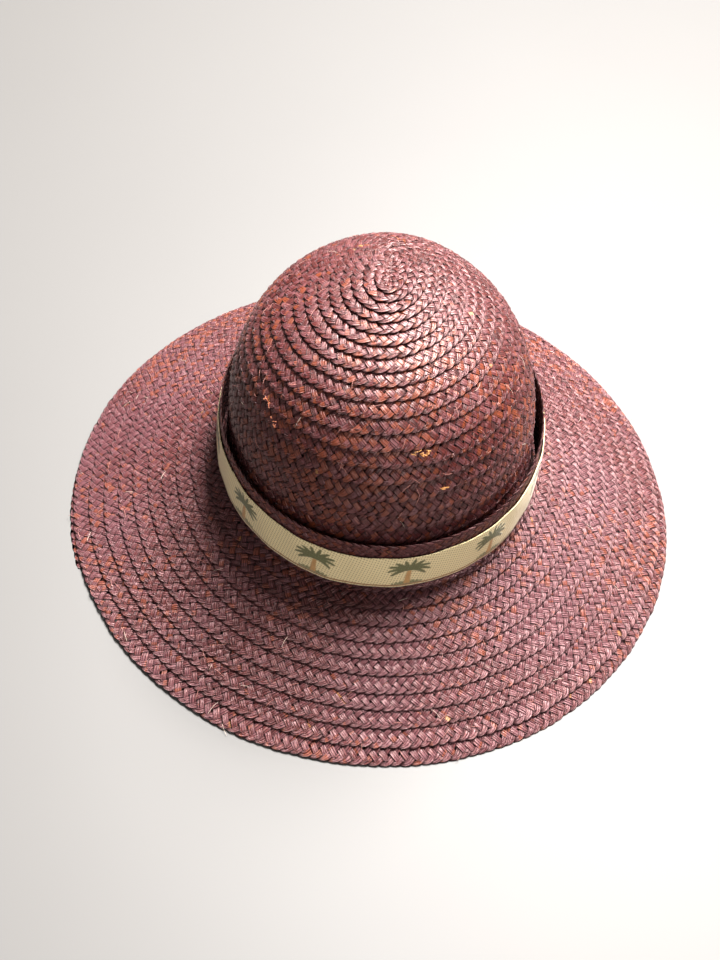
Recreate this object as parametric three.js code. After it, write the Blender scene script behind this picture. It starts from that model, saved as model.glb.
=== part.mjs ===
// A wide-brimmed sun hat sewn from one long raffia plait, with a loose plaited hatband and a woven ribbon.
// Millimetres, +Z up, front towards -Y. The origin is the centre of the plane that the brim edge rests on.
// Every straw piece starts as a straight flat strip, like the plait itself, and is bent onto the hat.
import * as THREE from 'three';

// Driving dimensions of the hat body, measured on its inner face.
const HEAD_HALF_WIDTH = 87;
const HEAD_LINE_HEIGHT = 56;
const CROWN_HEIGHT = 122;
const CROWN_SIDE_POWER = 3.55;
const CROWN_TIP_POWER = 1.35;
const CROWN_LEAN = THREE.MathUtils.degToRad(8.6);
const CROWN_LEANS_TOWARDS = THREE.MathUtils.degToRad(136);
const FLARE_RADIUS = 14;
const BRIM_DROOP = THREE.MathUtils.degToRad(26.5);
const CROWN_SAMPLES = 240;
const FLARE_SAMPLES = 12;
const SLOPE_SPARE = 20;

// The hat is oval: its half length is its half width plus one of these.
const OVAL_TIP = 10;
const OVAL_HEAD = 11.5;
const OVAL_EDGE = 4.5;

// The outermost row swells out at the front and is drawn in at the back.
const FRONT_SWELL = 4.4;
const FRONT_SWELL_ANGLE = THREE.MathUtils.degToRad(290);
const FRONT_SWELL_POWER = 2;
const BACK_DRAW = 5;
const BACK_DRAW_ANGLE = THREE.MathUtils.degToRad(122);
const BACK_DRAW_POWER = 9;
const SWELL_WIDTH = 14;

// The plait and how far each turn shows below the turn above it.
const PLAIT_THICKNESS = 1.0;
const PLAIT_WIDTH_PER_PITCH = 1.35;
const PITCH_TIP = 5.1;
const PITCH_GAIN_PER_TURN = 0.225;
const PITCH_BRIM = 9.9;
const COIL_START = 0.6;
const TIP_SLIT = 0.2;
const TIP_SHIFT = new THREE.Vector3(8, 1, 0);
const TIP_SHIFT_REACH = 80;
const TAIL_ANGLE = THREE.MathUtils.degToRad(206);
const LAYER_GAP_CROWN = 0.6;
const LAYER_GAP_BRIM = 0.4;
const LAYER_GAP_FLARE = 1.4;
const FLARE_GAP_FULL = 16;
const FLARE_GAP_FROM = 26;
const SETTLE_TURNS = 0.3;
const JOINT_GAP = 0.3;
const STEPS_PER_TURN = 40;
const TIP_TURNS = 9;
const DOME_TURNS = 15;
const INNER_BRIM_TURNS = 6;

// The hatband stands off the crown and rests on the foot of the brim.
const BAND_ROWS = 4;
const BAND_ROW_HEIGHT = 9;
const BAND_THICKNESS = 1.3;
const BAND_FOOT = 50.2;
const BAND_HALF_WIDTH = 95.1;
const BAND_TAPER = 0.02;
const RIBBON_HEIGHT = 25;
const RIBBON_THICKNESS = 0.5;
const RIBBON_FOOT = 53;
const RIBBON_OVERLAP_TURNS = 0.03;
const RIBBON_DRIFT = 0.9;

// The sweatband is a tape sewn round the inside of the head line.
const SWEATBAND_HEIGHT = 30;
const SWEATBAND_THICKNESS = 0.9;
const SWEATBAND_FOOT = 2;
const SWEATBAND_GAP = 0.5;

const STRAW = { color: 0x85423f, roughness: 0.78, metalness: 0 };
const STRAW_BRIM = { color: 0x7c4145, roughness: 0.8, metalness: 0 };
const STRAW_BAND = { color: 0x6a3035, roughness: 0.8, metalness: 0 };
const WOVEN_RIBBON = { color: 0xc9b987, roughness: 0.85, metalness: 0 };
const COTTON_TAPE = { color: 0x45292b, roughness: 0.9, metalness: 0 };

// The hat's meridian from the tip to a little beyond the brim edge: a superellipse, a flare and a slope.
function drawMeridian() {
  const points = [];
  for (let i = 0; i <= CROWN_SAMPLES; i += 1) {
    const angle = (i / CROWN_SAMPLES) * Math.PI / 2;
    const radius = HEAD_HALF_WIDTH * Math.sin(angle) ** (2 / CROWN_TIP_POWER);
    const height = CROWN_HEIGHT * Math.max(0, Math.cos(angle)) ** (2 / CROWN_SIDE_POWER);
    points.push(new THREE.Vector2(radius, HEAD_LINE_HEIGHT + height));
  }
  const flareTurn = Math.PI / 2 - BRIM_DROOP;
  for (let i = 1; i <= FLARE_SAMPLES; i += 1) {
    const angle = flareTurn * (i / FLARE_SAMPLES);
    const radius = HEAD_HALF_WIDTH + FLARE_RADIUS * (1 - Math.cos(angle));
    points.push(new THREE.Vector2(radius, HEAD_LINE_HEIGHT - FLARE_RADIUS * Math.sin(angle)));
  }
  const flareEnd = points[points.length - 1];
  const slopeLength = flareEnd.y / Math.sin(BRIM_DROOP) + SLOPE_SPARE;
  const slope = new THREE.Vector2(Math.cos(BRIM_DROOP), -Math.sin(BRIM_DROOP)).multiplyScalar(slopeLength);
  points.push(flareEnd.clone().add(slope));
  return points;
}

const MERIDIAN = drawMeridian();
const DISTANCES = [0];
for (let i = 1; i < MERIDIAN.length; i += 1) {
  DISTANCES.push(DISTANCES[i - 1] + MERIDIAN[i].distanceTo(MERIDIAN[i - 1]));
}
const HEAD_DISTANCE = DISTANCES[CROWN_SAMPLES];
const EDGE_DISTANCE = DISTANCES[DISTANCES.length - 1] - SLOPE_SPARE;

// Radius, height and outward normal of the inner face at a distance down the meridian from the tip.
function meridianAt(distance) {
  let low = 0;
  let high = DISTANCES.length - 1;
  while (high - low > 1) {
    const middle = (low + high) >> 1;
    if (DISTANCES[middle] <= distance) low = middle;
    else high = middle;
  }
  const part = (distance - DISTANCES[low]) / (DISTANCES[high] - DISTANCES[low]);
  const along = MERIDIAN[high].clone().sub(MERIDIAN[low]).normalize();
  const point = MERIDIAN[low].clone().lerp(MERIDIAN[high], part);
  return { point, normal: new THREE.Vector2(-along.y, along.x) };
}

// How much longer than wide the hat is, by half, at a distance from the tip.
function ovalAt(distance) {
  if (distance < HEAD_DISTANCE) {
    return THREE.MathUtils.lerp(OVAL_TIP, OVAL_HEAD, distance / HEAD_DISTANCE);
  }
  const part = (distance - HEAD_DISTANCE) / (EDGE_DISTANCE - HEAD_DISTANCE);
  return THREE.MathUtils.lerp(OVAL_HEAD, OVAL_EDGE, part);
}

// How far the brim's edge stands out from a plain oval at an angle.
function swellAt(angle) {
  const front = (1 + Math.cos(angle - FRONT_SWELL_ANGLE)) / 2;
  const back = (1 + Math.cos(angle - BACK_DRAW_ANGLE)) / 2;
  return FRONT_SWELL * front ** FRONT_SWELL_POWER - BACK_DRAW * back ** BACK_DRAW_POWER;
}

// The crown leans about this axis through the middle of the head line.
const HEAD_CENTRE = new THREE.Vector3(0, 0, HEAD_LINE_HEIGHT);
const LEAN_AXIS = new THREE.Vector3(-Math.sin(CROWN_LEANS_TOWARDS), Math.cos(CROWN_LEANS_TOWARDS), 0);

// A point at an angle round the hat. The higher it is on the crown, the more it leans back and to one side.
function placeOnHat(angle, radius, height, oval) {
  const point = new THREE.Vector3(radius * Math.cos(angle), (radius + oval) * Math.sin(angle), height);
  const rise = (height - HEAD_LINE_HEIGHT) / CROWN_HEIGHT;
  const lean = CROWN_LEAN * THREE.MathUtils.clamp(rise, 0, 1);
  return point.sub(HEAD_CENTRE).applyAxisAngle(LEAN_AXIS, lean).add(HEAD_CENTRE);
}

// A point on the hat body, lifted off its inner face. The coil starts a little to one side of the crown's
// middle, and the turns round it are drawn towards that side.
function placeOnBody(angle, distance, lift) {
  const { point, normal } = meridianAt(distance);
  const nearEdge = THREE.MathUtils.smoothstep(distance, EDGE_DISTANCE - SWELL_WIDTH, EDGE_DISTANCE);
  const radius = point.x + normal.x * lift + swellAt(angle) * nearEdge;
  const nearTip = 1 - THREE.MathUtils.smoothstep(distance, 0, TIP_SHIFT_REACH);
  const placed = placeOnHat(angle, radius, point.y + normal.y * lift, ovalAt(distance));
  return placed.addScaledVector(TIP_SHIFT, nearTip);
}

// Bends a straight strip. place takes three fractions: along the strip, down it from its upper to its lower
// edge, and out from its inner to its outer face.
function bendStrip(steps, place) {
  const strip = new THREE.BoxGeometry(1, 1, 1, steps, 1, 1);
  const corners = strip.getAttribute('position');
  for (let i = 0; i < corners.count; i += 1) {
    const point = place(corners.getX(i) + 0.5, 0.5 - corners.getY(i), corners.getZ(i) + 0.5);
    corners.setXYZ(i, point.x, point.y, point.z);
  }
  strip.computeVertexNormals();
  return strip;
}

// The turn of the coil that reaches the head line.
const HEAD_TURN = (Math.sqrt(PITCH_TIP ** 2 + 2 * PITCH_GAIN_PER_TURN * (HEAD_DISTANCE - COIL_START))
  - PITCH_TIP) / PITCH_GAIN_PER_TURN;

// The distance of the plait's upper edge from the tip after a number of turns.
function coilDistance(turn) {
  const crownTurn = Math.min(turn, HEAD_TURN);
  const onCrown = COIL_START + PITCH_TIP * crownTurn + PITCH_GAIN_PER_TURN * crownTurn ** 2 / 2;
  return onCrown + PITCH_BRIM * Math.max(0, turn - HEAD_TURN);
}

// The coil ends where its lower edge reaches the brim edge, and starts at the angle that puts its tail there.
const LAST_TURN = HEAD_TURN + (EDGE_DISTANCE - HEAD_DISTANCE) / PITCH_BRIM - (PLAIT_WIDTH_PER_PITCH - 1);
const COIL_ANGLE = TAIL_ANGLE - LAST_TURN * 2 * Math.PI;

// The rings have their joins at the back, at the step of the coil nearest to it.
const STEP_ANGLE = 2 * Math.PI / STEPS_PER_TURN;
const BACK = COIL_ANGLE + Math.round((Math.PI / 2 - COIL_ANGLE) / STEP_ANGLE) * STEP_ANGLE;

// The brim edge is trimmed level, so that the hat rests on it: the outer face reaches this much further down.
const EDGE_TRIM = PLAIT_THICKNESS / Math.tan(BRIM_DROOP);

// The space between one turn and the turn under it, widest where the hat bends most, in the flare.
function layerGap(distance) {
  const fromFlare = Math.abs(distance - HEAD_DISTANCE - FLARE_RADIUS / 2);
  const nearFlare = 1 - THREE.MathUtils.smoothstep(fromFlare, FLARE_GAP_FULL, FLARE_GAP_FROM);
  const plain = distance < HEAD_DISTANCE ? LAYER_GAP_CROWN : LAYER_GAP_BRIM;
  return THREE.MathUtils.lerp(plain, LAYER_GAP_FLARE, nearFlare);
}

// A point of the coiled plait. Each turn lies with its lower edge on top of the turn below it, and the first
// turn is drawn in to close the tip.
function placeOnCoil(turn, down, out) {
  const seam = coilDistance(turn);
  const pitch = coilDistance(turn + 1) - seam;
  const upper = turn < 1 ? TIP_SLIT : seam;
  const isLast = turn > LAST_TURN - 1;
  const settle = isLast ? 1 - THREE.MathUtils.smoothstep(turn - LAST_TURN + 1, 0, SETTLE_TURNS) : 1;
  const lower = Math.min(seam + PLAIT_WIDTH_PER_PITCH * pitch, EDGE_DISTANCE);
  const distance = THREE.MathUtils.lerp(upper, lower, down);
  const tilt = settle * (PLAIT_THICKNESS + layerGap(distance)) / pitch;
  const lift = tilt * (distance - seam) + PLAIT_THICKNESS * out;
  const trim = isLast && down === 1 ? out * EDGE_TRIM : 0;
  return placeOnBody(COIL_ANGLE + turn * 2 * Math.PI, distance + trim, lift);
}

// A length of the coil. Its end stops just short of the next length's start.
function coilLength(firstTurn, lastTurn) {
  const { point } = meridianAt(coilDistance(lastTurn));
  const endGap = JOINT_GAP / (2 * Math.PI * point.x);
  const steps = Math.round((lastTurn - firstTurn) * STEPS_PER_TURN);
  return bendStrip(steps, (along, down, out) => (
    placeOnCoil(THREE.MathUtils.lerp(firstTurn, lastTurn - endGap, along), down, out)));
}

// A strip that stands round the hat at a constant height, from one end to the other.
function standingStrip(foot, height, thickness, outerHalfWidth, turns, outwardDrift) {
  const steps = Math.round(turns * STEPS_PER_TURN);
  return bendStrip(steps, (along, down, out) => {
    const level = foot + height * (1 - down);
    const taper = BAND_TAPER * (level - BAND_FOOT);
    const radius = outerHalfWidth - thickness * (1 - out) - taper + outwardDrift * along;
    const angle = BACK + along * turns * 2 * Math.PI;
    return new THREE.Vector3(radius * Math.cos(angle), (radius + OVAL_HEAD) * Math.sin(angle), level);
  });
}

function makeMesh(name, geometry, look) {
  const mesh = new THREE.Mesh(geometry, new THREE.MeshStandardMaterial(look));
  mesh.name = name;
  return mesh;
}

// The coil is made in lengths, each starting where the one above it ends.
function makeBody() {
  const body = new THREE.Group();
  const brimStart = Math.round((HEAD_TURN - 1) * STEPS_PER_TURN) / STEPS_PER_TURN;
  body.add(makeMesh('crown_tip', coilLength(0, TIP_TURNS), STRAW));
  body.add(makeMesh('crown_dome', coilLength(TIP_TURNS, DOME_TURNS), STRAW));
  body.add(makeMesh('crown_side', coilLength(DOME_TURNS, brimStart), STRAW));
  body.add(makeMesh('brim_inner', coilLength(brimStart, brimStart + INNER_BRIM_TURNS), STRAW_BRIM));
  body.add(makeMesh('brim_outer', coilLength(brimStart + INNER_BRIM_TURNS, LAST_TURN), STRAW_BRIM));
  return body;
}

// One ring of tape inside the head line.
function makeSweatband() {
  const endGap = JOINT_GAP / (2 * Math.PI * HEAD_HALF_WIDTH);
  const upper = HEAD_DISTANCE - SWEATBAND_HEIGHT;
  const lower = HEAD_DISTANCE + SWEATBAND_FOOT;
  const tape = bendStrip(STEPS_PER_TURN, (along, down, out) => {
    const lift = -SWEATBAND_GAP - SWEATBAND_THICKNESS * (1 - out);
    const angle = BACK + along * (1 - endGap) * 2 * Math.PI;
    return placeOnBody(angle, THREE.MathUtils.lerp(upper, lower, down), lift);
  });
  return makeMesh('sweatband', tape, COTTON_TAPE);
}

// Four rings of plait, one above the other, and the ribbon round the outside with its ends lapped.
function makeBand() {
  const band = new THREE.Group();
  const endGap = JOINT_GAP / (2 * Math.PI * BAND_HALF_WIDTH);
  for (let row = 0; row < BAND_ROWS; row += 1) {
    const foot = BAND_FOOT + row * (BAND_ROW_HEIGHT + JOINT_GAP);
    const plait = standingStrip(foot, BAND_ROW_HEIGHT, BAND_THICKNESS, BAND_HALF_WIDTH, 1 - endGap, 0);
    band.add(makeMesh(`band_row_${row + 1}`, plait, STRAW_BAND));
  }
  const ribbonHalfWidth = BAND_HALF_WIDTH + JOINT_GAP + RIBBON_THICKNESS;
  const ribbon = standingStrip(RIBBON_FOOT, RIBBON_HEIGHT, RIBBON_THICKNESS, ribbonHalfWidth,
    1 + RIBBON_OVERLAP_TURNS, RIBBON_DRIFT);
  band.add(makeMesh('ribbon', ribbon, WOVEN_RIBBON));
  return band;
}

const hat = new THREE.Group();
hat.add(makeBody(), makeSweatband(), makeBand());

// The tail of the coil makes the edge a little longer on one side, so the hat is centred by its outline.
const outline = new THREE.Box3().setFromObject(hat).getCenter(new THREE.Vector3());
hat.position.set(-outline.x, -outline.y, 0);

export default hat;
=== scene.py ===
"""The looks of a plaited raffia sun hat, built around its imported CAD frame.

Metres, +Z up, front towards -Y. The hat stands on its brim edge at z = 0.
"""

import bpy
import numpy as np
from mathutils import Matrix, Vector


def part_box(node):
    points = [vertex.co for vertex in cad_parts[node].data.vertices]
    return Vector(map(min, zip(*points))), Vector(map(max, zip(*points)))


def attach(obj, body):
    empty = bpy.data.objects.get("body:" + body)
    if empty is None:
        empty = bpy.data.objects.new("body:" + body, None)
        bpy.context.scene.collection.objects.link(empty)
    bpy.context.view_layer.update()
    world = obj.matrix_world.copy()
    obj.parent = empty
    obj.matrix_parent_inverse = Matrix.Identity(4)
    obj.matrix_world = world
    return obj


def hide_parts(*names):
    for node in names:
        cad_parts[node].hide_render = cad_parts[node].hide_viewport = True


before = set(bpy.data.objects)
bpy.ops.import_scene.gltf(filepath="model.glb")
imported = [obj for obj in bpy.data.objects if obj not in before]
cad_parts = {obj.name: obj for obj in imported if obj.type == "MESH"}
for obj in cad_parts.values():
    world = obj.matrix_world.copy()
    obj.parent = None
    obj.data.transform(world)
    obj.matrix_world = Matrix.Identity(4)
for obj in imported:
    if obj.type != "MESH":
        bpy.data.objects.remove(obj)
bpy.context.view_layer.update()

MM = 0.001
TAU = 2 * np.pi
SEED = 20

# The hatband's rings are centred on the hat's own axis, a little off the middle of its outline.
HAT_AXIS = np.array([sum(ends) / 2 for ends in zip(*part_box("band_row_1"))]) * (1, 1, 0)

# The hat body's inner face, with the same dimensions as the CAD.
HEAD_HALF_WIDTH = 87 * MM
HEAD_LINE_HEIGHT = 56 * MM
CROWN_HEIGHT = 122 * MM
CROWN_SIDE_POWER = 3.55
CROWN_TIP_POWER = 1.35
CROWN_LEAN = np.radians(8.6)
CROWN_LEANS_TOWARDS = np.radians(136)
FLARE_RADIUS = 14 * MM
BRIM_DROOP = np.radians(26.5)
OVAL_TIP = 10 * MM
OVAL_HEAD = 11.5 * MM
OVAL_EDGE = 4.5 * MM
FRONT_SWELL = 4.4 * MM
FRONT_SWELL_ANGLE = np.radians(290)
FRONT_SWELL_POWER = 2
BACK_DRAW = 5 * MM
BACK_DRAW_ANGLE = np.radians(122)
BACK_DRAW_POWER = 9
SWELL_WIDTH = 14 * MM
CROWN_SAMPLES = 240
FLARE_SAMPLES = 12
SLOPE_SPARE = 20 * MM
SLOPE_PROBE = 1.5 * MM

# The coil of plait.
PLAIT_THICKNESS = 1.0 * MM
SEEN_PER_PITCH = 1.35
PITCH_TIP = 5.1 * MM
PITCH_GAIN_PER_TURN = 0.225 * MM
PITCH_BRIM = 9.9 * MM
COIL_START = 0.6 * MM
TIP_REACH = 1.6 * MM
TIP_SHIFT = np.array([8 * MM, 1 * MM, 0])
TIP_SHIFT_REACH = 80 * MM
FLOOR_CLEARANCE = 0.05 * MM
TAIL_ANGLE = np.radians(206)
LAYER_GAP_CROWN = 0.6 * MM
LAYER_GAP_BRIM = 0.4 * MM
LAYER_GAP_FLARE = 1.4 * MM
FLARE_GAP_FROM = 26 * MM
FLARE_GAP_FULL = 16 * MM
SETTLE_TURNS = 0.3
TIP_TURNS = 9
DOME_TURNS = 15
INNER_BRIM_TURNS = 6
STEPS_PER_TURN = 40

# One flat five-strand plait.
STRANDS = 5
PLAIT_WIDTH = 13.2 * MM
STRAND_PERIOD = 27 * MM
STRAND_WIDTH = 3.65 * MM
STRAND_THICKNESS = 0.56 * MM
WEAVE_HEIGHT = 0.32 * MM
TURN_SHARPNESS = 0.62
SELVEDGE_NARROWING = 0.42
STRAND_STEP = 1.25 * MM
LEAF_LENGTH = 0.33
LEAF_STAGGER = 0.37
LEAF_UNEVEN = 0.2

# How the plait lies on the coil. Its start is tucked in, and its tail stands out from the edge, which it
# leaves between two parts of a turn before its end.
COIL_SAMPLES = 12000
MIDDLE_FROM_EDGE = 0.4 * PLAIT_WIDTH
LAYER_STEP_SHARE = 0.78
START_TUCK = 1.6 * MM
START_TUCK_LENGTH = 16 * MM
TAIL_STANDS_OUT = 3.0 * MM
TAIL_TURNS = (0.09, 0.02)

# Unevenness: how much, over what length in metres, and the seed of its noise.
EDGE_UNEVEN = (0.45 * MM, 0.031, 5)
PLAIT_DRIFT = (0.9 * MM, 0.043, 11)
STRAND_DRIFT = (0.65 * MM, 0.016, 80)
STRAND_GIRTH_SLOW = (0.13, 0.021, 20)
STRAND_GIRTH_FAST = (0.12, 0.006, 30)
STRAND_SIDEWAYS = (0.26 * MM, 0.009, 40)
STRAND_OUTWARDS = (0.07 * MM, 0.005, 50)
STITCH_UNEVEN = (0.25 * MM, 0.013, 70)
WOBBLE_KNOTS = 4096
CHANCE_ENTRIES = 8192

# A soft brim's billows: waves round the hat, where they start, and their share.
BILLOW_HEIGHT = 0.5 * MM
BILLOWS = ((3, 0.7, 1.0), (5, 2.1, 0.7), (9, 0.0, 0.4))

# The hatband.
BAND_ROWS = 4
BAND_ROW_PITCH = 9.3 * MM
BAND_ROW_HEIGHT = 9 * MM
BAND_PLAIT_WIDTH = 12 * MM
BAND_LAP = 1.2 * MM
BAND_RISE = 0.2 * MM
BAND_FOOT = 50.2 * MM
BAND_MID_RADIUS = 94.4 * MM
BAND_TAPER = 0.02
ROW_RELIEF = 0.75
TOP_ROW_RELIEF = 1.15
RIBBON_FOOT = 53 * MM
RIBBON_HEIGHT = 25 * MM
RIBBON_RADIUS = 95.75 * MM
RIBBON_OVERLAP_TURNS = 0.03
RIBBON_DRIFT = 0.9 * MM
RIBBON_THICKNESS = 0.45 * MM
RIBBON_BOW = 0.35 * MM
RIBBON_STEPS = (1120, 42)
RING_STEPS = 721
BACK = np.pi / 2

# The ribbon's waves: how many round the band, where they start or how they slant, and their height.
RIBBON_SWAYS = ((5, 1, 0.35 * MM), (11, 0, 0.2 * MM))
RIBBON_RIPPLES = ((17, 4, 0.16 * MM), (31, 0, 0.1 * MM))

# The palm woven into the ribbon, in millimetres from its foot: each frond's tip and how far it arches.
PALMS = 12
PALM_ANGLE = np.radians(285)
PALM_HUB = (0.9, 13.4)
PALM_FRONDS = [
    (-9.0, 9.4, 3.2), (-11.0, 12.6, 3.0), (-10.4, 16.4, 2.2), (-7.0, 19.4, 1.2), (-2.0, 21.0, 0.2),
    (3.6, 21.4, 0.2), (8.4, 19.8, 1.2), (11.8, 16.4, 2.2), (12.2, 12.4, 3.0), (9.6, 9.2, 3.2),
]
PALM_FOOT = 1.4
FROND_HALF_WIDTH = 1.2
FROND_STEPS = 26
TRUNK_FOOT = 1.0
TRUNK_HALF_WIDTH = 1.9
TRUNK_TAPER = 0.05
TRUNK_RING = 0.16
TRUNK_RING_PITCH = 1.6
GRASS_HEIGHT = 2.9
GRASS_BLADE_HEIGHT = 1.5
GRASS_FALLS = 0.026
GRASS_HALF_WIDTH = 9.0

# The ribbon's picot edge, and where the brown line near its foot fades in and out, in millimetres.
PICOT_PITCH = 2.1 * MM
PICOT_HEIGHT = 0.28 * MM
PICOT_FROM = 0.94
LINE_EDGES = (0.7, 1.1, 2.0, 2.4)
LINE_SHARE = 0.9

# Sewing thread. A stitch follows a wave from -1 to 1, and comes up through the plait between two heights.
STITCH_PITCH = 9 * MM
STITCH_STEP = 1.1 * MM
STITCH_FROM_EDGE = 2.6 * MM
STITCH_ABOVE = 0.85 * MM
STITCH_BELOW = -2.3 * MM
THREAD_RADIUS = 0.22 * MM
STITCH_SHOWS = (0.45, 0.75)
STITCH_BELOW_LAST_ROW = -0.6 * MM
THREAD_START_TURN = 0.35
THREAD_STOPS_SHORT = 0.05

# Broken ends and stray fibres: how many, and their radius. Lengths and rises are in millimetres.
STRAY_FIBRES = (420, 0.13 * MM)
PALE_FIBRES = (70, 0.10 * MM)
FIBRE_LENGTH = (2.5, 7.5)
FIBRE_RISE = (0.5, 1.6)
FIBRE_FOOT = 0.3 * MM
FIBRE_STARTS_ACROSS = (0.4, 1.0)
FIBRE_BEND = 0.5
FIBRE_ARC = (0.45, 0.9)
FIBRE_STEPS = 7
FIBRE_SEED = 7
FIBRE_END_MARGIN = 0.05

# Where strands were spliced and their ends stand out: degrees round the hat and distance from the tip.
# The ends' lengths and rises are in millimetres.
RUST_TUFTS = [(75, 25 * MM), (222, 88 * MM), (228, 95 * MM), (300, 62 * MM), (140, 100 * MM)]
GOLD_TUFTS = [(289, 93 * MM), (292, 93.5 * MM), (297, 114 * MM)]
FIBRES_PER_TUFT = 6
TUFT_RADIUS = 0.23 * MM
TUFT_LENGTH = (1.8, 3.6)
TUFT_RISE = (0.8, 2.2)
TUFT_FOOT = 2.2 * MM
TUFT_SPREAD_ALONG = 1.4 * MM
TUFT_SPREAD_DOWN = 0.9 * MM
TUFT_TURN = 0.35
TUFT_ARC = 0.7
TUFT_STEPS = 6
TUFT_SEED = 9

# How thick a thread or fibre is at its two ends, as a share of its full girth.
TUBE_END_GIRTH = 0.35

# The sweatband.
SWEATBAND_HEIGHT = 30 * MM
SWEATBAND_FOOT = 2 * MM
SWEATBAND_INSET = 0.95 * MM
SWEATBAND_THICKNESS = 0.7 * MM
SWEATBAND_RIPPLES = ((14, 0.25 * MM), (37, 0.12 * MM))
SWEATBAND_STEPS = (640, 24)
SWEATBAND_SLIT = 0.0006
SWEATBAND_SEAMS = (2.5 * MM, 4.5 * MM)
SEAM_PITCH = 4 * MM
SEAM_STITCH = 2.6 * MM
SEAM_SINK = 1.25 * MM
SEAM_BULGE = 0.28 * MM
SEAM_RADIUS = 0.2 * MM
SEAM_STEPS = 6


# ---------------------------------------------------------------- the hat's shape

def draw_meridian():
    """Radius and height down the inner face, from the tip to beyond the brim edge."""
    crown = np.linspace(0, np.pi / 2, CROWN_SAMPLES + 1)
    radius = HEAD_HALF_WIDTH * np.sin(crown) ** (2 / CROWN_TIP_POWER)
    height = HEAD_LINE_HEIGHT + CROWN_HEIGHT * np.maximum(0, np.cos(crown)) ** (2 / CROWN_SIDE_POWER)
    flare = (np.pi / 2 - BRIM_DROOP) * np.arange(1, FLARE_SAMPLES + 1) / FLARE_SAMPLES
    radius = np.append(radius, HEAD_HALF_WIDTH + FLARE_RADIUS * (1 - np.cos(flare)))
    height = np.append(height, HEAD_LINE_HEIGHT - FLARE_RADIUS * np.sin(flare))
    slope = height[-1] / np.sin(BRIM_DROOP) + SLOPE_SPARE
    radius = np.append(radius, radius[-1] + slope * np.cos(BRIM_DROOP))
    height = np.append(height, height[-1] - slope * np.sin(BRIM_DROOP))
    return radius, height


RADII, HEIGHTS = draw_meridian()
DISTANCES = np.append(0, np.cumsum(np.hypot(np.diff(RADII), np.diff(HEIGHTS))))
HEAD_DISTANCE = DISTANCES[CROWN_SAMPLES]
EDGE_DISTANCE = DISTANCES[-1] - SLOPE_SPARE
LEAN_AXIS = np.array([-np.sin(CROWN_LEANS_TOWARDS), np.cos(CROWN_LEANS_TOWARDS), 0])


def smoothstep(x, low, high):
    """0 below low, 1 above high, and eased between them."""
    t = np.clip((x - low) / (high - low), 0, 1)
    return t * t * (3 - 2 * t)


def oval_at(distance):
    """How much longer than wide the hat is at a distance from the tip, as half of the difference."""
    crown = OVAL_TIP + (OVAL_HEAD - OVAL_TIP) * distance / HEAD_DISTANCE
    part = (distance - HEAD_DISTANCE) / (EDGE_DISTANCE - HEAD_DISTANCE)
    return np.where(distance < HEAD_DISTANCE, crown, OVAL_HEAD + (OVAL_EDGE - OVAL_HEAD) * part)


def place_on_hat(angle, radius, height, oval):
    """Points round the hat, with the crown leaning more the higher it is."""
    point = np.stack([radius * np.cos(angle), (radius + oval) * np.sin(angle), height - HEAD_LINE_HEIGHT], -1)
    lean = CROWN_LEAN * np.clip(point[..., 2] / CROWN_HEIGHT, 0, 1)[..., None]
    across = np.cross(np.broadcast_to(LEAN_AXIS, point.shape), point)
    along = LEAN_AXIS * (point @ LEAN_AXIS)[..., None]
    point = point * np.cos(lean) + across * np.sin(lean) + along * (1 - np.cos(lean))
    point[..., 2] += HEAD_LINE_HEIGHT
    return point + HAT_AXIS


def place_on_body(angle, distance, lift):
    """Points of the hat body, lifted off its inner face. The coil starts a little to one side of the crown's
    middle, and the turns round it are drawn towards that side."""
    down = np.abs(distance)
    before, after = np.maximum(down - SLOPE_PROBE, 0), down + SLOPE_PROBE
    run = np.interp(after, DISTANCES, RADII) - np.interp(before, DISTANCES, RADII)
    rise = np.interp(after, DISTANCES, HEIGHTS) - np.interp(before, DISTANCES, HEIGHTS)
    length = np.hypot(run, rise)
    near_edge = smoothstep(distance, EDGE_DISTANCE - SWELL_WIDTH, EDGE_DISTANCE)
    radius = np.sign(distance) * np.interp(down, DISTANCES, RADII)
    radius = radius - rise / length * lift + swell_at(angle) * near_edge
    height = np.interp(down, DISTANCES, HEIGHTS) + run / length * lift
    point = place_on_hat(angle, radius, height + billow(angle, distance), oval_at(distance))
    return point + TIP_SHIFT * (1 - smoothstep(down, 0, TIP_SHIFT_REACH))[..., None]


def swell_at(angle):
    """How far the brim's edge stands out from a plain oval."""
    front = ((1 + np.cos(angle - FRONT_SWELL_ANGLE)) / 2) ** FRONT_SWELL_POWER
    back = ((1 + np.cos(angle - BACK_DRAW_ANGLE)) / 2) ** BACK_DRAW_POWER
    return FRONT_SWELL * front - BACK_DRAW * back


def billow(angle, distance):
    """The slight unevenness of a soft brim, nothing at the head line and at the edge it stands on."""
    part = np.clip((distance - HEAD_DISTANCE) / (EDGE_DISTANCE - HEAD_DISTANCE), 0, 1)
    wave = sum(share * np.sin(count * angle + start) for count, start, share in BILLOWS)
    return BILLOW_HEIGHT * wave * np.sin(np.pi * part)


# ---------------------------------------------------------------- the coil

HEAD_TURN = (np.sqrt(PITCH_TIP ** 2 + 2 * PITCH_GAIN_PER_TURN * (HEAD_DISTANCE - COIL_START))
             - PITCH_TIP) / PITCH_GAIN_PER_TURN
LAST_TURN = HEAD_TURN + (EDGE_DISTANCE - HEAD_DISTANCE) / PITCH_BRIM - (SEEN_PER_PITCH - 1)
COIL_ANGLE = TAIL_ANGLE - LAST_TURN * TAU
BRIM_START = round((HEAD_TURN - 1) * STEPS_PER_TURN) / STEPS_PER_TURN
THREAD_CHANGE_TURNS = (DOME_TURNS - 2, BRIM_START, BRIM_START + 5)


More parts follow.
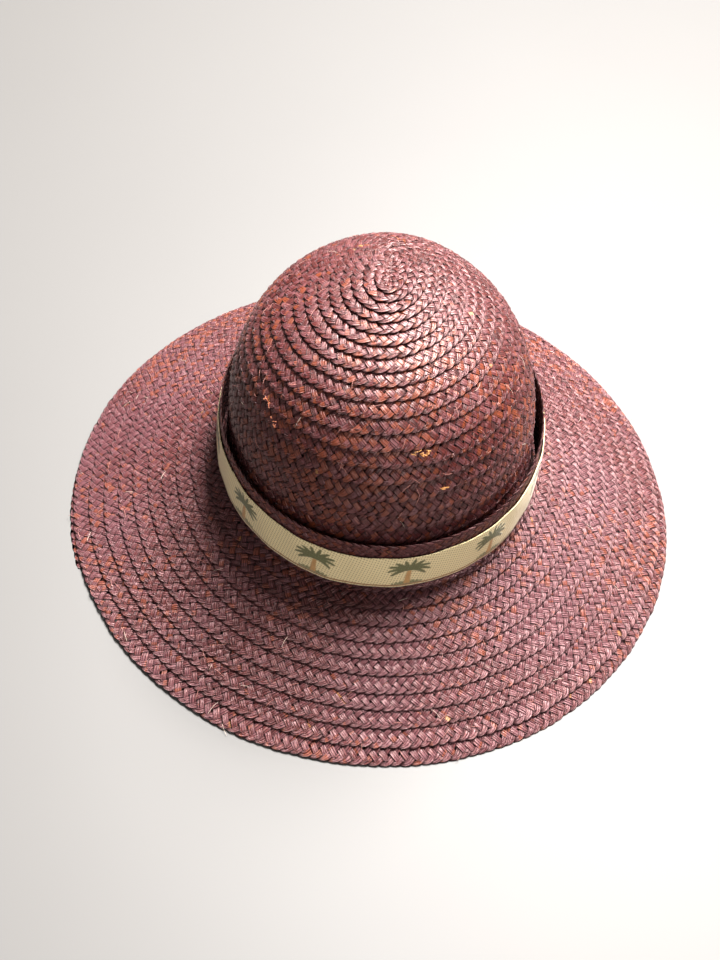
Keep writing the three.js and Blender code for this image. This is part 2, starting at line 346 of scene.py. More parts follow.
def coil_distance(turn):
    """Distance of a turn's seam from the tip."""
    on_crown = np.minimum(turn, HEAD_TURN)
    crown = COIL_START + PITCH_TIP * on_crown + PITCH_GAIN_PER_TURN * on_crown ** 2 / 2
    return crown + PITCH_BRIM * np.maximum(0, turn - HEAD_TURN)


def coil_lower(turn):
    """Distance of a turn's lower edge from the tip."""
    seam = coil_distance(turn)
    return np.minimum(seam + SEEN_PER_PITCH * (coil_distance(turn + 1) - seam), EDGE_DISTANCE)


def layer_gap(distance):
    """The gap between a turn and the one it lies on, wider where the crown turns into the brim."""
    from_flare = np.abs(distance - HEAD_DISTANCE - FLARE_RADIUS / 2)
    near_flare = 1 - smoothstep(from_flare, FLARE_GAP_FULL, FLARE_GAP_FROM)
    plain = np.where(distance < HEAD_DISTANCE, LAYER_GAP_CROWN, LAYER_GAP_BRIM)
    return plain + (LAYER_GAP_FLARE - plain) * near_flare


def measure_coil():
    """Turns, and how much plait has been laid by each, along the plait's middle."""
    turns = np.linspace(0, LAST_TURN, COIL_SAMPLES)
    middle = coil_lower(turns) - MIDDLE_FROM_EDGE
    middle = np.maximum(middle, 0.5 * coil_lower(turns))
    points = place_on_body(COIL_ANGLE + turns * TAU, middle, np.zeros_like(turns))
    laid = np.append(0, np.cumsum(np.linalg.norm(np.diff(points, axis=0), axis=1)))
    return turns, laid


TURNS, LAID = measure_coil()


def lay_on_coil(run, across, out):
    """Places plait on the coil: run along it, across from its upper edge, and out from its middle layer.
    Each turn lies with its lower edge on top of the turn below it."""
    turn = np.interp(run, LAID, TURNS)
    seam = coil_distance(turn)
    pitch = coil_distance(turn + 1) - seam
    lower = coil_lower(turn) + uneven(run, *EDGE_UNEVEN)
    lower = lower + TAIL_STANDS_OUT * smoothstep(turn, *(LAST_TURN - before for before in TAIL_TURNS))
    width = np.minimum(PLAIT_WIDTH, lower + TIP_REACH)
    distance = lower - width * (1 - across / PLAIT_WIDTH)
    last = smoothstep(turn, LAST_TURN - 1, LAST_TURN - 1 + SETTLE_TURNS)
    tilt = LAYER_STEP_SHARE * (1 - last) * (PLAIT_THICKNESS + layer_gap(distance)) / pitch
    tuck = START_TUCK * (1 - smoothstep(run, 0, START_TUCK_LENGTH))
    lift = tilt * (distance - seam) + PLAIT_THICKNESS / 2 + out - tuck
    point = place_on_body(COIL_ANGLE + turn * TAU, distance, lift)
    point[..., 2] = np.maximum(point[..., 2], FLOOR_CLEARANCE)
    return point


# ---------------------------------------------------------------- the plait

def wobble(run, wavelength, seed):
    """Smooth noise from -1 to 1 along a run."""
    knots = np.random.default_rng(SEED + seed).uniform(-1, 1, WOBBLE_KNOTS)
    place = np.abs(run) / wavelength
    low = np.floor(place).astype(int)
    part = place - low
    part = part * part * (3 - 2 * part)
    return knots[low % WOBBLE_KNOTS] * (1 - part) + knots[(low + 1) % WOBBLE_KNOTS] * part


def uneven(run, amount, wavelength, seed, strand=0):
    """Wobble of a given amount along a run, of its own for each strand."""
    return amount * wobble(run, wavelength, seed + strand)


def chance(index, seed):
    """A fixed random number from 0 to 1 for each whole number."""
    table = np.random.default_rng(SEED + seed).uniform(0, 1, CHANCE_ENTRIES)
    return table[np.abs(index).astype(int) % CHANCE_ENTRIES]


def weave_levels():
    """Height of a strand through half a period: over and under the four strands it crosses."""
    knots = np.array([-0.1, 0.1, 0.2, 0.3, 0.4, 0.6])
    levels = np.array([-1, 1, -1, 1, -1, 1])
    phase = np.linspace(0, 0.5, 401)
    low = np.clip(np.searchsorted(knots, phase, side="right") - 1, 0, len(knots) - 2)
    part = (phase - knots[low]) / (knots[low + 1] - knots[low])
    ease = (1 - np.cos(np.pi * part)) / 2
    return phase, levels[low] * (1 - ease) + levels[low + 1] * ease


LEVEL_PHASE, LEVEL_HEIGHT = weave_levels()

# A strand's cross-section as shares of its half width and half thickness.
SECTION_SIDE = np.array([-1, -0.66, -0.34, 0.0, 0.34, 0.66, 1, 0.5, -0.5])
SECTION_OUT = np.array([-0.1, 0.95, 0.42, 1.20, 0.42, 0.95, -0.1, -0.9, -0.9])


def strand_looks(run, phase, level, strand):
    """What the raffia material reads at each point of a strand. The tone changes with the leaf that the
    strand is spliced from and with the visible cell. The factors only keep the random numbers apart."""
    leaf = np.floor(run / LEAF_LENGTH + strand * LEAF_STAGGER + LEAF_UNEVEN * np.sin(run * 3))
    cell = np.floor(phase * (2 * STRANDS))
    tone = 0.5 * chance(leaf * 7 + strand * 131, 60) + 0.5 * chance(cell * 5 + strand * 977, 61)
    rust = chance(cell * 3 + strand * 389, 62)
    ones = np.ones((len(run), len(SECTION_SIDE)))
    return {
        "along": run[:, None] * ones,
        "side": SECTION_SIDE[None, :] * ones,
        "tone": tone[:, None] * ones,
        "rust": rust[:, None] * ones,
        "level": level[:, None] * ones,
        "strand": (strand + 0.5) * ones,
    }


def plait_strand(start, end, strand, width):
    """One strand of a plait: run, across and out for each point of its sections, and its attributes."""
    count = max(4, int(round((end - start) / STRAND_STEP)))
    run = np.linspace(start, end, count)
    drift = uneven(run, *PLAIT_DRIFT) + uneven(run, *STRAND_DRIFT, strand)
    phase = (run + drift) / STRAND_PERIOD + strand / STRANDS
    swing = np.arcsin(np.sin(TAU * phase - np.pi / 2) * TURN_SHARPNESS) / np.arcsin(TURN_SHARPNESS)
    girth = 1 + uneven(run, *STRAND_GIRTH_SLOW, strand) + uneven(run, *STRAND_GIRTH_FAST, strand)
    half_width = STRAND_WIDTH / 2 * girth * (1 - SELVEDGE_NARROWING * swing ** 6)
    reach = (width - (1 - SELVEDGE_NARROWING) * STRAND_WIDTH) / 2
    across = width / 2 + swing * reach + uneven(run, *STRAND_SIDEWAYS, strand)
    level = np.interp(phase % 0.5, LEVEL_PHASE, LEVEL_HEIGHT)
    out = WEAVE_HEIGHT * level + uneven(run, *STRAND_OUTWARDS, strand)
    ahead = np.stack([np.gradient(run), np.gradient(across)], -1)
    ahead /= np.linalg.norm(ahead, axis=1)[:, None]
    side = SECTION_SIDE[None, :] * half_width[:, None]
    sections = {
        "run": run[:, None] - ahead[:, 1:2] * side,
        "across": across[:, None] + ahead[:, 0:1] * side,
        "out": out[:, None] + SECTION_OUT[None, :] * STRAND_THICKNESS / 2 * (2 - girth)[:, None],
    }
    return sections, strand_looks(run, phase, level, strand)


def tube_faces(rings, ring_size, first):
    """Quads between rings of points, and the two closed ends."""
    ring = np.arange(rings - 1)[:, None] * ring_size
    spoke = np.arange(ring_size)[None, :]
    beside = (spoke + 1) % ring_size
    quads = np.stack([ring + spoke, ring + ring_size + spoke, ring + ring_size + beside, ring + beside], -1)
    caps = np.stack([np.arange(ring_size), (rings - 1) * ring_size + np.arange(ring_size)[::-1]])
    return quads.reshape(-1, 4) + first, caps + first


def build_mesh(name, points, face_groups, looks, material):
    """A mesh object from points, groups of equal-sized faces and point attributes."""
    mesh = bpy.data.meshes.new(name)
    corners = np.concatenate([faces.ravel() for faces in face_groups])
    sizes = np.concatenate([np.full(len(faces), faces.shape[1]) for faces in face_groups])
    starts = np.append(0, np.cumsum(sizes)[:-1])
    mesh.vertices.add(len(points))
    mesh.vertices.foreach_set("co", points.astype(np.float32).ravel())
    mesh.loops.add(len(corners))
    mesh.loops.foreach_set("vertex_index", corners.astype(np.int32))
    mesh.polygons.add(len(sizes))
    mesh.polygons.foreach_set("loop_start", starts.astype(np.int32))
    mesh.update(calc_edges=True)
    mesh.shade_smooth()
    for look, values in looks.items():
        attribute = mesh.attributes.new(look, "FLOAT", "POINT")
        attribute.data.foreach_set("value", values.astype(np.float32).ravel())
    mesh.materials.append(material)
    piece = bpy.data.objects.new(name, mesh)
    bpy.context.scene.collection.objects.link(piece)
    return piece


def build_plait(name, start, end, width, place, material):
    """A length of plait. place takes run, across and out and gives points."""
    points, quads, caps, looks = [], [], [], []
    first = 0
    for strand in range(STRANDS):
        sections, look = plait_strand(start, end, strand, width)
        placed = place(sections["run"], sections["across"], sections["out"])
        strand_quads, strand_caps = tube_faces(placed.shape[0], placed.shape[1], first)
        points.append(placed.reshape(-1, 3))
        quads.append(strand_quads)
        caps.append(strand_caps)
        looks.append(look)
        first += placed.shape[0] * placed.shape[1]
    joined = {key: np.concatenate([look[key].ravel() for look in looks]) for key in looks[0]}
    faces = [np.concatenate(quads), np.concatenate(caps)]
    return build_mesh(name, np.concatenate(points), faces, joined, material)


# ---------------------------------------------------------------- materials

class Graph:
    """A material's node tree, with one short call to add a node."""

    def __init__(self, name):
        self.material = bpy.data.materials.new(name)
        self.material.use_nodes = True
        self.tree = self.material.node_tree
        self.tree.nodes.clear()
        self.output = self.tree.nodes.new("ShaderNodeOutputMaterial")

    def add(self, kind, inputs=None, **settings):
        node = self.tree.nodes.new("ShaderNode" + kind)
        for key, value in settings.items():
            setattr(node, key, value)
        for key, value in (inputs or {}).items():
            if isinstance(value, bpy.types.NodeSocket):
                self.tree.links.new(value, node.inputs[key])
            else:
                node.inputs[key].default_value = value
        return node

    def attribute(self, name):
        return self.add("Attribute", attribute_name=name).outputs["Fac"]

    def math(self, operation, a, b=0.0, clamp=False):
        return self.add("Math", {0: a, 1: b}, operation=operation, use_clamp=clamp).outputs[0]

    def mix(self, factor, a, b, blend="MIX"):
        node = self.add("Mix", {0: factor, 6: a, 7: b}, data_type="RGBA", blend_type=blend)
        return node.outputs[2]

    def noise(self, vector, scale, detail=2.0, roughness=0.5):
        inputs = {"Vector": vector, "Scale": scale, "Detail": detail, "Roughness": roughness}
        return self.add("TexNoise", inputs).outputs["Fac"]

    def vector(self, x, y, z):
        return self.add("CombineXYZ", {"X": x, "Y": y, "Z": z}).outputs[0]

    def ramp(self, factor, stops):
        node = self.add("ValToRGB", {"Fac": factor})
        elements = node.color_ramp.elements
        while len(elements) < len(stops):
            elements.new(0.5)
        for element, (position, colour) in zip(elements, stops):
            element.position = position
            element.color = (*colour, 1)
        return node.outputs["Color"]

    def scale(self, value, factor):
        return self.math("MULTIPLY", value, factor)

    def blend(self, *terms):
        """The sum of values, each given with its weight."""
        total = self.scale(*terms[0])
        for value, weight in terms[1:]:
            total = self.math("ADD", total, self.scale(value, weight))
        return total

    def slubs(self, along, up, per_metre_along, per_metre_up, detail):
        place = self.vector(self.scale(along, per_metre_along), self.scale(up, per_metre_up), 0.0)
        return self.noise(place, 1.0, detail)

    def remap(self, value, low, high, to_low=0.0, to_high=1.0):
        """A value moved from one range to another, and held inside it."""
        inputs = {"Value": value, "From Min": low, "From Max": high, "To Min": to_low, "To Max": to_high}
        return self.add("MapRange", inputs).outputs[0]

    def bump(self, height, strength, distance):
        return self.add("Bump", {"Height": height, "Strength": strength, "Distance": distance}).outputs[0]

    def finish(self, inputs):
        shader = self.add("BsdfPrincipled", inputs)
        self.tree.links.new(shader.outputs["BSDF"], self.output.inputs["Surface"])
        return self.material


# Raffia fibres. Counts are per metre along a strand or per half width across it.
LANE_STEP = 7.7
WANDER_ALONG = 60
WANDER_ACROSS = 0.7
FIBRES_ACROSS = 1.5
FIBRE_WANDER = 1.4
FIBRE_ORDERS = 40.0
FIBRE_ORDER_STEP = 3.0
GROOVE = (0.02, 0.16)
GRAIN_ALONG = 160
GRAIN_ACROSS = 6.0

# Raffia dye: how much of it comes from the strand, the fibre and the grain, and where the tones lie.
DYE_WEIGHTS = (0.46, 0.40, 0.30)
DYE_LOSS = 0.06
DYE_STOPS = (0.10, 0.30, 0.48, 0.66, 0.90)
BRIM_TO_CROWN = (0.05, 0.10)
DUST_PATCHES = 13.0
DUST_PATCH_EDGE = (0.42, 0.64)
DUST_IN_PATCHES = 0.14
DUST_IN_BRIM_PATCHES = 0.42
DUST_ON_BRIM = 0.22
RUST_PATCHES = 11.0
RUST_PATCH_PLACE = (3.0, 7.0, 5.0)
RUST_PATCH_EDGE = (0.38, 0.66)
RUST_ODDS = (0.98, 0.58)
RUST_SHARE = 0.58
GOLD_ODDS = 0.9985
GOLD_SHARE = 0.6

# Raffia relief and gloss, and the shade painted into its crevices, along strand edges and in the grooves
# between fibres.
CREVICE_LEVELS = (-0.9, 0.4)
CREVICE_SHADE = 0.97
STRAND_EDGE = (0.72, 1.0)
STRAND_EDGE_SHADE = 0.85
FIBRES_SHOW_ON_CROWN = 0.45
FIBRES_SHOW_MORE_ON_BRIM = 0.40
GRAIN_RELIEF = 0.8
ROUGHNESS_BY_GRAIN = (0.3, 0.7, 0.43, 0.23)
ROUGHNESS_IN_SHADE = 0.45
GLOSS = 1.0
GLOSS_LOST_IN_SHADE = 0.92
RAFFIA_BUMP = (0.9, 0.8 * MM)


def find_fibres(g, along, side, tone, lane):
    """The groove between two fibres of a strand, and each fibre's own tone."""
    bends = g.vector(g.scale(along, WANDER_ALONG), g.scale(side, WANDER_ACROSS), lane)
    fibre = g.blend((side, FIBRES_ACROSS), (g.noise(bends, 1.0, 1.0), FIBRE_WANDER))
    order = g.scale(g.math("FLOOR", g.scale(tone, FIBRE_ORDERS)), FIBRE_ORDER_STEP)
    fibre = g.math("ADD", fibre, order)
    groove = g.remap(g.math("PINGPONG", fibre, 0.5), *GROOVE, 1.0, 0.0)
    own = g.add("TexWhiteNoise", {"W": g.math("FLOOR", fibre)}, noise_dimensions="1D")
    return groove, own.outputs["Value"]


def add_dust(g, colour, place, on_brim, dusty):
    """A dusty bloom in patches, and more of it on the brim."""
    patch = g.remap(g.noise(place, DUST_PATCHES, 2.0), *DUST_PATCH_EDGE)
    thick = g.math("ADD", g.scale(on_brim, DUST_IN_BRIM_PATCHES), DUST_IN_PATCHES)
    dust = g.math("ADD", g.math("MULTIPLY", patch, thick), g.scale(on_brim, DUST_ON_BRIM))
    return g.mix(dust, colour, (*dusty, 1))


def add_odd_strands(g, colour, place, odd, rust, gold):
    """Cells of rust, more of them in some places than in others, and a very few of gold."""
    moved = g.add("VectorMath", {0: place, 1: RUST_PATCH_PLACE}).outputs[0]
    threshold = g.remap(g.noise(moved, RUST_PATCHES, 2.0), *RUST_PATCH_EDGE, *RUST_ODDS)
    is_rust = g.math("GREATER_THAN", odd, threshold)
    colour = g.mix(g.scale(is_rust, RUST_SHARE), colour, (*rust, 1))
    is_gold = g.math("GREATER_THAN", odd, GOLD_ODDS)
    return g.mix(g.scale(is_gold, GOLD_SHARE), colour, (*gold, 1))


def make_raffia(name, dark_dye_and_shade, deep, body, dusty, pale, rust, gold, crown_tint):
    """Dyed raffia: flat strands of a few fibres each, uneven dye, dust, and painted shade in the creases
    between strands, along their edges and in the grooves between fibres.
    """
    g = Graph(name)
    along, side, tone = g.attribute("along"), g.attribute("side"), g.attribute("tone")
    lane = g.scale(g.attribute("strand"), LANE_STEP)
    place = g.add("TexCoord").outputs["Object"]
    height_up = g.add("SeparateXYZ", {"Vector": place}).outputs["Z"]
    on_brim = g.remap(height_up, *BRIM_TO_CROWN, 1.0, 0.0)
    on_crown = g.math("SUBTRACT", 1.0, on_brim)

    groove, fibre_tone = find_fibres(g, along, side, tone, lane)
    grain = g.noise(g.vector(g.scale(along, GRAIN_ALONG), g.scale(side, GRAIN_ACROSS), lane), 1.0, 3.0, 0.6)
    dye = g.blend(*zip((tone, fibre_tone, grain), DYE_WEIGHTS))
    dye = g.math("SUBTRACT", dye, DYE_LOSS, clamp=True)
    colour = g.ramp(dye, list(zip(DYE_STOPS, (dark_dye_and_shade, deep, body, dusty, pale))))
    colour = add_dust(g, colour, place, on_brim, dusty)
    colour = g.mix(on_crown, colour, (*crown_tint, 1), "MULTIPLY")
    colour = add_odd_strands(g, colour, place, g.attribute("rust"), rust, gold)

    fibrous = g.math("ADD", g.scale(on_brim, FIBRES_SHOW_MORE_ON_BRIM), FIBRES_SHOW_ON_CROWN)
    groove = g.math("MULTIPLY", groove, fibrous)
    # Painted shade: the colour goes towards the darkest dye where a strand dips under its neighbours, along
    # each strand's edges and in the grooves between its fibres. The same mask roughens these places and dims
    # their gloss.
    painted_crevice_shade = g.remap(g.attribute("level"), *CREVICE_LEVELS, CREVICE_SHADE, 0.0)
    edge = g.remap(g.math("ABSOLUTE", side), *STRAND_EDGE, 0.0, STRAND_EDGE_SHADE)
    painted_shade = g.math("MAXIMUM", g.math("MAXIMUM", painted_crevice_shade, edge), groove)
    colour = g.mix(painted_shade, colour, (*dark_dye_and_shade, 1))
    relief = g.math("SUBTRACT", g.scale(g.math("MULTIPLY", grain, fibrous), GRAIN_RELIEF), groove)
    roughness = g.math("ADD", g.remap(grain, *ROUGHNESS_BY_GRAIN), g.scale(painted_shade, ROUGHNESS_IN_SHADE))
    gloss = g.math("SUBTRACT", GLOSS, g.scale(painted_shade, GLOSS_LOST_IN_SHADE))
    return g.finish({
        "Base Color": colour, "Roughness": roughness, "Normal": g.bump(relief, *RAFFIA_BUMP),
        "Sheen Weight": 0.02, "Sheen Roughness": 0.40, "Sheen Tint": (1.0, 0.70, 0.74, 1),
        "Specular IOR Level": gloss, "Specular Tint": (1.0, 0.72, 0.70, 1),
    })


# The ribbon's weave: wavelengths along and up the ribbon of the two rows of dots that cross.
DOT_ROWS = ((4.8 * MM, 3.0 * MM), (2.6 * MM, 5.2 * MM))
DOT_EDGE = (0.15, 0.75)
DOT_SHARE = 0.62
DOT_COLOUR = (0.24, 0.15, 0.05, 1)
LEAF_LIGHT = (0.19, 0.20, 0.09, 1)
BARK_DARK = (0.20, 0.09, 0.03, 1)
RIBBON_BUMP = (0.55, 0.4 * MM)

# Slubs are the uneven thickness of a yarn: how many per metre along and up the cloth.
RIBBON_SLUBS = (900, 250)
TAPE_SLUBS = (300, 900)


def make_ribbon_cloth(name, ground, thread, leaf, bark, line):
    """A jacquard ribbon: a fine diagonal dotted weave, woven trees and a brown line along one edge."""
    g = Graph(name)
    along, up = g.attribute("along"), g.attribute("up")
    (steep_along, steep_up), (flat_along, flat_up) = DOT_ROWS
    steep = g.math("SUBTRACT", g.scale(along, TAU / steep_along), g.scale(up, TAU / steep_up))
    flat = g.math("ADD", g.scale(along, TAU / flat_along), g.scale(up, TAU / flat_up))
    dot = g.remap(g.math("MULTIPLY", g.math("SINE", steep), g.math("SINE", flat)), *DOT_EDGE)
    slub = g.slubs(along, up, *RIBBON_SLUBS, 2.0)
    colour = g.mix(g.scale(slub, 0.5), (*ground, 1), (*thread, 1))
    colour = g.mix(g.scale(dot, DOT_SHARE), colour, DOT_COLOUR)
    colour = g.mix(g.attribute("line"), colour, (*line, 1))
    colour = g.mix(g.attribute("leaf"), colour, g.mix(g.scale(slub, 0.9), (*leaf, 1), LEAF_LIGHT))
    colour = g.mix(g.attribute("bark"), colour, g.mix(g.scale(slub, 0.5), (*bark, 1), BARK_DARK))
    picture = g.math("MAXIMUM", g.attribute("leaf"), g.attribute("bark"))
    relief = g.math("ADD", g.scale(picture, 1.2), g.math("SUBTRACT", slub, g.scale(dot, 0.6)))
    return g.finish({
        "Base Color": colour, "Roughness": 0.62, "Normal": g.bump(relief, *RIBBON_BUMP),
        "Sheen Weight": 0.25, "Sheen Roughness": 0.35,
    })


TAPE_RIB_PITCH = 1.6 * MM
TAPE_PICK_PITCH = 0.7 * MM
TAPE_BUMP = (0.6, 0.3 * MM)
THREAD_TWIST_PITCH = 1.2 * MM
THREAD_BUMP = (0.6, 0.2 * MM)


def make_tape(name, colour_a, colour_b):
    """A ribbed cotton tape: ribs across its width and a finer plain weave."""
    g = Graph(name)
    along, up = g.attribute("along"), g.attribute("up")
    rib = g.math("SINE", g.scale(along, TAU / TAPE_RIB_PITCH))
    pick = g.math("SINE", g.scale(up, TAU / TAPE_PICK_PITCH))
    slub = g.slubs(along, up, *TAPE_SLUBS, 3.0)
    worn = g.noise(g.add("TexCoord").outputs["Object"], 30.0, 3.0)
    share = g.math("ADD", g.scale(slub, 0.6), g.scale(worn, 0.5), clamp=True)
    relief = g.math("ADD", rib, g.scale(pick, 0.35))
    return g.finish({
        "Base Color": g.mix(share, (*colour_a, 1), (*colour_b, 1)), "Roughness": 0.85,
        "Normal": g.bump(relief, *TAPE_BUMP), "Sheen Weight": 0.3,
    })


def make_thread(name, colour_a, colour_b, roughness):
    """Twisted thread or a loose fibre: two tones wound along it."""
    g = Graph(name)
    along, side = g.attribute("along"), g.attribute("side")
    twist = g.math("ADD", g.scale(along, TAU / THREAD_TWIST_PITCH), g.scale(side, np.pi))
    strand = g.math("ADD", g.scale(g.math("SINE", twist), 0.5), 0.5)
    return g.finish({
        "Base Color": g.mix(strand, (*colour_a, 1), (*colour_b, 1)), "Roughness": roughness,
        "Normal": g.bump(strand, *THREAD_BUMP), "Sheen Weight": 0.2,
    })


# ---------------------------------------------------------------- pieces

def make_body_plait(material):
    """The hat body: one plait, in lengths that stand for the CAD lengths."""
    lengths = [
        ("crown_tip", 0, TIP_TURNS, 1),
        ("crown_dome", TIP_TURNS, DOME_TURNS, 2),
        ("crown_side", DOME_TURNS, BRIM_START, 2),
        ("brim_inner", BRIM_START, BRIM_START + INNER_BRIM_TURNS, 3),
        ("brim_outer", BRIM_START + INNER_BRIM_TURNS, LAST_TURN, 3),
    ]
    for node, first, last, parts in lengths:
        cuts = np.interp(np.linspace(first, last, parts + 1), TURNS, LAID)
        for part in range(parts):
            name = f"{node}_plait_{part + 1}"
            piece = build_plait(name, cuts[part], cuts[part + 1], PLAIT_WIDTH, lay_on_coil, material)
            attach(piece, "hat_body")
            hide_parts(node)


def band_row_placer(row, circumference):
    """Gives the function that places plait on one row of the hatband, from its upper edge down."""
    foot = BAND_FOOT + row * BAND_ROW_PITCH
    relief = TOP_ROW_RELIEF if row == BAND_ROWS - 1 else ROW_RELIEF

    def place(run, across, out):
        angle = BACK + run / circumference * TAU
        down = across / BAND_PLAIT_WIDTH * (BAND_ROW_HEIGHT + BAND_LAP)
        level = foot + BAND_ROW_HEIGHT + BAND_RISE - down
        radius = BAND_MID_RADIUS - BAND_TAPER * (level - BAND_FOOT) + out * relief
        return place_on_band(angle, level, radius)

    return place


def make_band_rows(material):
    """The hatband: four rings of plait, each lapping over the one below."""
    circumference = TAU * (BAND_MID_RADIUS + OVAL_HEAD / 2)
    for row in range(BAND_ROWS):
        place = band_row_placer(row, circumference)
        piece = build_plait(f"band_plait_{row + 1}", 0, circumference, BAND_PLAIT_WIDTH, place, material)
        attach(piece, "hatband")
        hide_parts(f"band_row_{row + 1}")


def build_tubes(name, paths, radius, sides, material):
    """Thin round tubes along paths of points, tapered at both ends."""
    points, quads, caps, along, around = [], [], [], [], []
    first = 0
    spoke = np.arange(sides) / sides * TAU
    for path in paths:
        ahead = np.gradient(path, axis=0)
        ahead /= np.linalg.norm(ahead, axis=1)[:, None] + 1e-12
        helper = np.where(np.abs(ahead[:, 2:3]) < 0.9, [[0.0, 0, 1]], [[1.0, 0, 0]])
        right = np.cross(ahead, helper)
        right /= np.linalg.norm(right, axis=1)[:, None]
        over = np.cross(right, ahead)
        run = np.append(0, np.cumsum(np.linalg.norm(np.diff(path, axis=0), axis=1)))
        from_end = np.minimum(run, run[-1] - run) / (2 * radius)
        girth = radius * np.clip(from_end + TUBE_END_GIRTH, 0, 1)[:, None, None]
        ring = right[:, None] * np.cos(spoke)[None, :, None] + over[:, None] * np.sin(spoke)[None, :, None]
        tube = path[:, None] + ring * girth
        tube_quads, tube_caps = tube_faces(len(path), sides, first)
        points.append(tube.reshape(-1, 3))
        quads.append(tube_quads)
        caps.append(tube_caps)
        along.append(np.repeat(run, sides))
        around.append(np.tile(np.arange(sides) / sides * 2, len(path)))
        first += len(path) * sides
    looks = {"along": np.concatenate(along), "side": np.concatenate(around)}
    faces = [np.concatenate(quads), np.concatenate(caps)]
    return build_mesh(name, np.concatenate(points), faces, looks, material)


def make_sewing(material):
    """The running stitch that sews each turn of the plait onto the next."""
    new_thread_at = (THREAD_START_TURN, *THREAD_CHANGE_TURNS, LAST_TURN - THREAD_STOPS_SHORT)
    cuts = np.interp(new_thread_at, TURNS, LAID)
    for part in range(len(cuts) - 1):
        run = np.arange(cuts[part], cuts[part + 1], STITCH_STEP)
        turn = np.interp(run, LAID, TURNS)
        wave = np.sin(TAU * run / STITCH_PITCH)
        above = smoothstep(wave, *STITCH_SHOWS)
        out = STITCH_BELOW + (STITCH_ABOVE - STITCH_BELOW) * above
        out = np.where(turn > LAST_TURN - 1, np.maximum(out, STITCH_BELOW_LAST_ROW), out)
        across = PLAIT_WIDTH - STITCH_FROM_EDGE + uneven(run, *STITCH_UNEVEN)
        path = lay_on_coil(run, across, out)
        piece = build_tubes(f"sewing_thread_{part + 1}", [path], THREAD_RADIUS, 4, material)
        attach(piece, "hat_body")


def fibre_path(rng, run, across, length, height):
    """A loose fibre that leaves the plait, rises and bends over."""
    steps = np.linspace(0, 1, FIBRE_STEPS)
    turn = rng.uniform(0, TAU)
    reach = length * steps
    bend = rng.uniform(-FIBRE_BEND, FIBRE_BEND) * length * steps ** 2
    runs = run + np.cos(turn) * reach - np.sin(turn) * bend
    acrosses = across + np.sin(turn) * reach + np.cos(turn) * bend
    outs = FIBRE_FOOT + height * np.sin(np.pi * steps * rng.uniform(*FIBRE_ARC))
    return lay_on_coil(runs, acrosses, outs)


def make_loose_fibres(straw, pale):
    """Broken ends and stray fibres all over the plait."""
    rng = np.random.default_rng(SEED + FIBRE_SEED)
    groups = (("stray_fibres", straw, STRAY_FIBRES), ("pale_fibres", pale, PALE_FIBRES))
    for name, material, (count, radius) in groups:
        paths = []
        for _ in range(count):
            run = rng.uniform(FIBRE_END_MARGIN, LAID[-1] - FIBRE_END_MARGIN)
            across = rng.uniform(*FIBRE_STARTS_ACROSS) * PLAIT_WIDTH
            length = rng.uniform(*FIBRE_LENGTH) * MM
            paths.append(fibre_path(rng, run, across, length, rng.uniform(*FIBRE_RISE) * MM))
        piece = build_tubes(name, paths, radius, 4, material)
        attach(piece, "hat_body")


def tuft_fibre_path(rng, angle, distance):
    """One short end that leaves the body near a place and lies mostly along the plait."""
    steps = np.linspace(0, 1, TUFT_STEPS)
    length = rng.uniform(*TUFT_LENGTH) * MM
    heading = rng.normal(0.0, TUFT_TURN)
    radius = np.interp(distance, DISTANCES, RADII) + OVAL_TIP
    turn = np.radians(angle) + (rng.normal(0, TUFT_SPREAD_ALONG) + np.cos(heading) * length * steps) / radius
    down = distance + rng.normal(0, TUFT_SPREAD_DOWN) + np.sin(heading) * length * steps
    lift = TUFT_FOOT + rng.uniform(*TUFT_RISE) * MM * np.sin(np.pi * steps * TUFT_ARC)
    return place_on_body(turn, down, lift)


def make_splice_tufts(straw, gold):
    """Short ends that stand out where one strand gives over to the next."""
    rng = np.random.default_rng(SEED + TUFT_SEED)
    for name, material, places in (("rust_tufts", straw, RUST_TUFTS), ("gold_tufts", gold, GOLD_TUFTS)):
        paths = [tuft_fibre_path(rng, *place) for place in places for _ in range(FIBRES_PER_TUFT)]
        piece = build_tubes(name, paths, TUFT_RADIUS, 5, material)
        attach(piece, "hat_body")


def place_on_band(angle, level, radius):
    """Points on a ring round the hat's upright axis."""
    around = (radius * np.cos(angle), (radius + OVAL_HEAD) * np.sin(angle), level + 0 * angle)
    return np.stack(around, -1) + HAT_AXIS


def palm_frond(x, y, tip_x, tip_y, rise):
    """How much of a place on the ribbon one frond covers. It arches from the hub to its tip."""
    hub_x, hub_y = PALM_HUB
    steps = np.linspace(0, 1, FROND_STEPS)[:, None]
    half = FROND_HALF_WIDTH * np.sqrt(np.sin(np.pi * np.clip(0.10 + 0.82 * steps, 0, 1)))
    mid_x, mid_y = (hub_x + tip_x) / 2, (hub_y + tip_y) / 2 + rise
    curve_x = (1 - steps) ** 2 * hub_x + 2 * steps * (1 - steps) * mid_x + steps ** 2 * tip_x
    curve_y = (1 - steps) ** 2 * hub_y + 2 * steps * (1 - steps) * mid_y + steps ** 2 * tip_y
    gap = np.hypot(x.ravel() - curve_x, y.ravel() - curve_y) - half
    return smoothstep(-gap.min(0), -0.25, 0.2).reshape(x.shape)


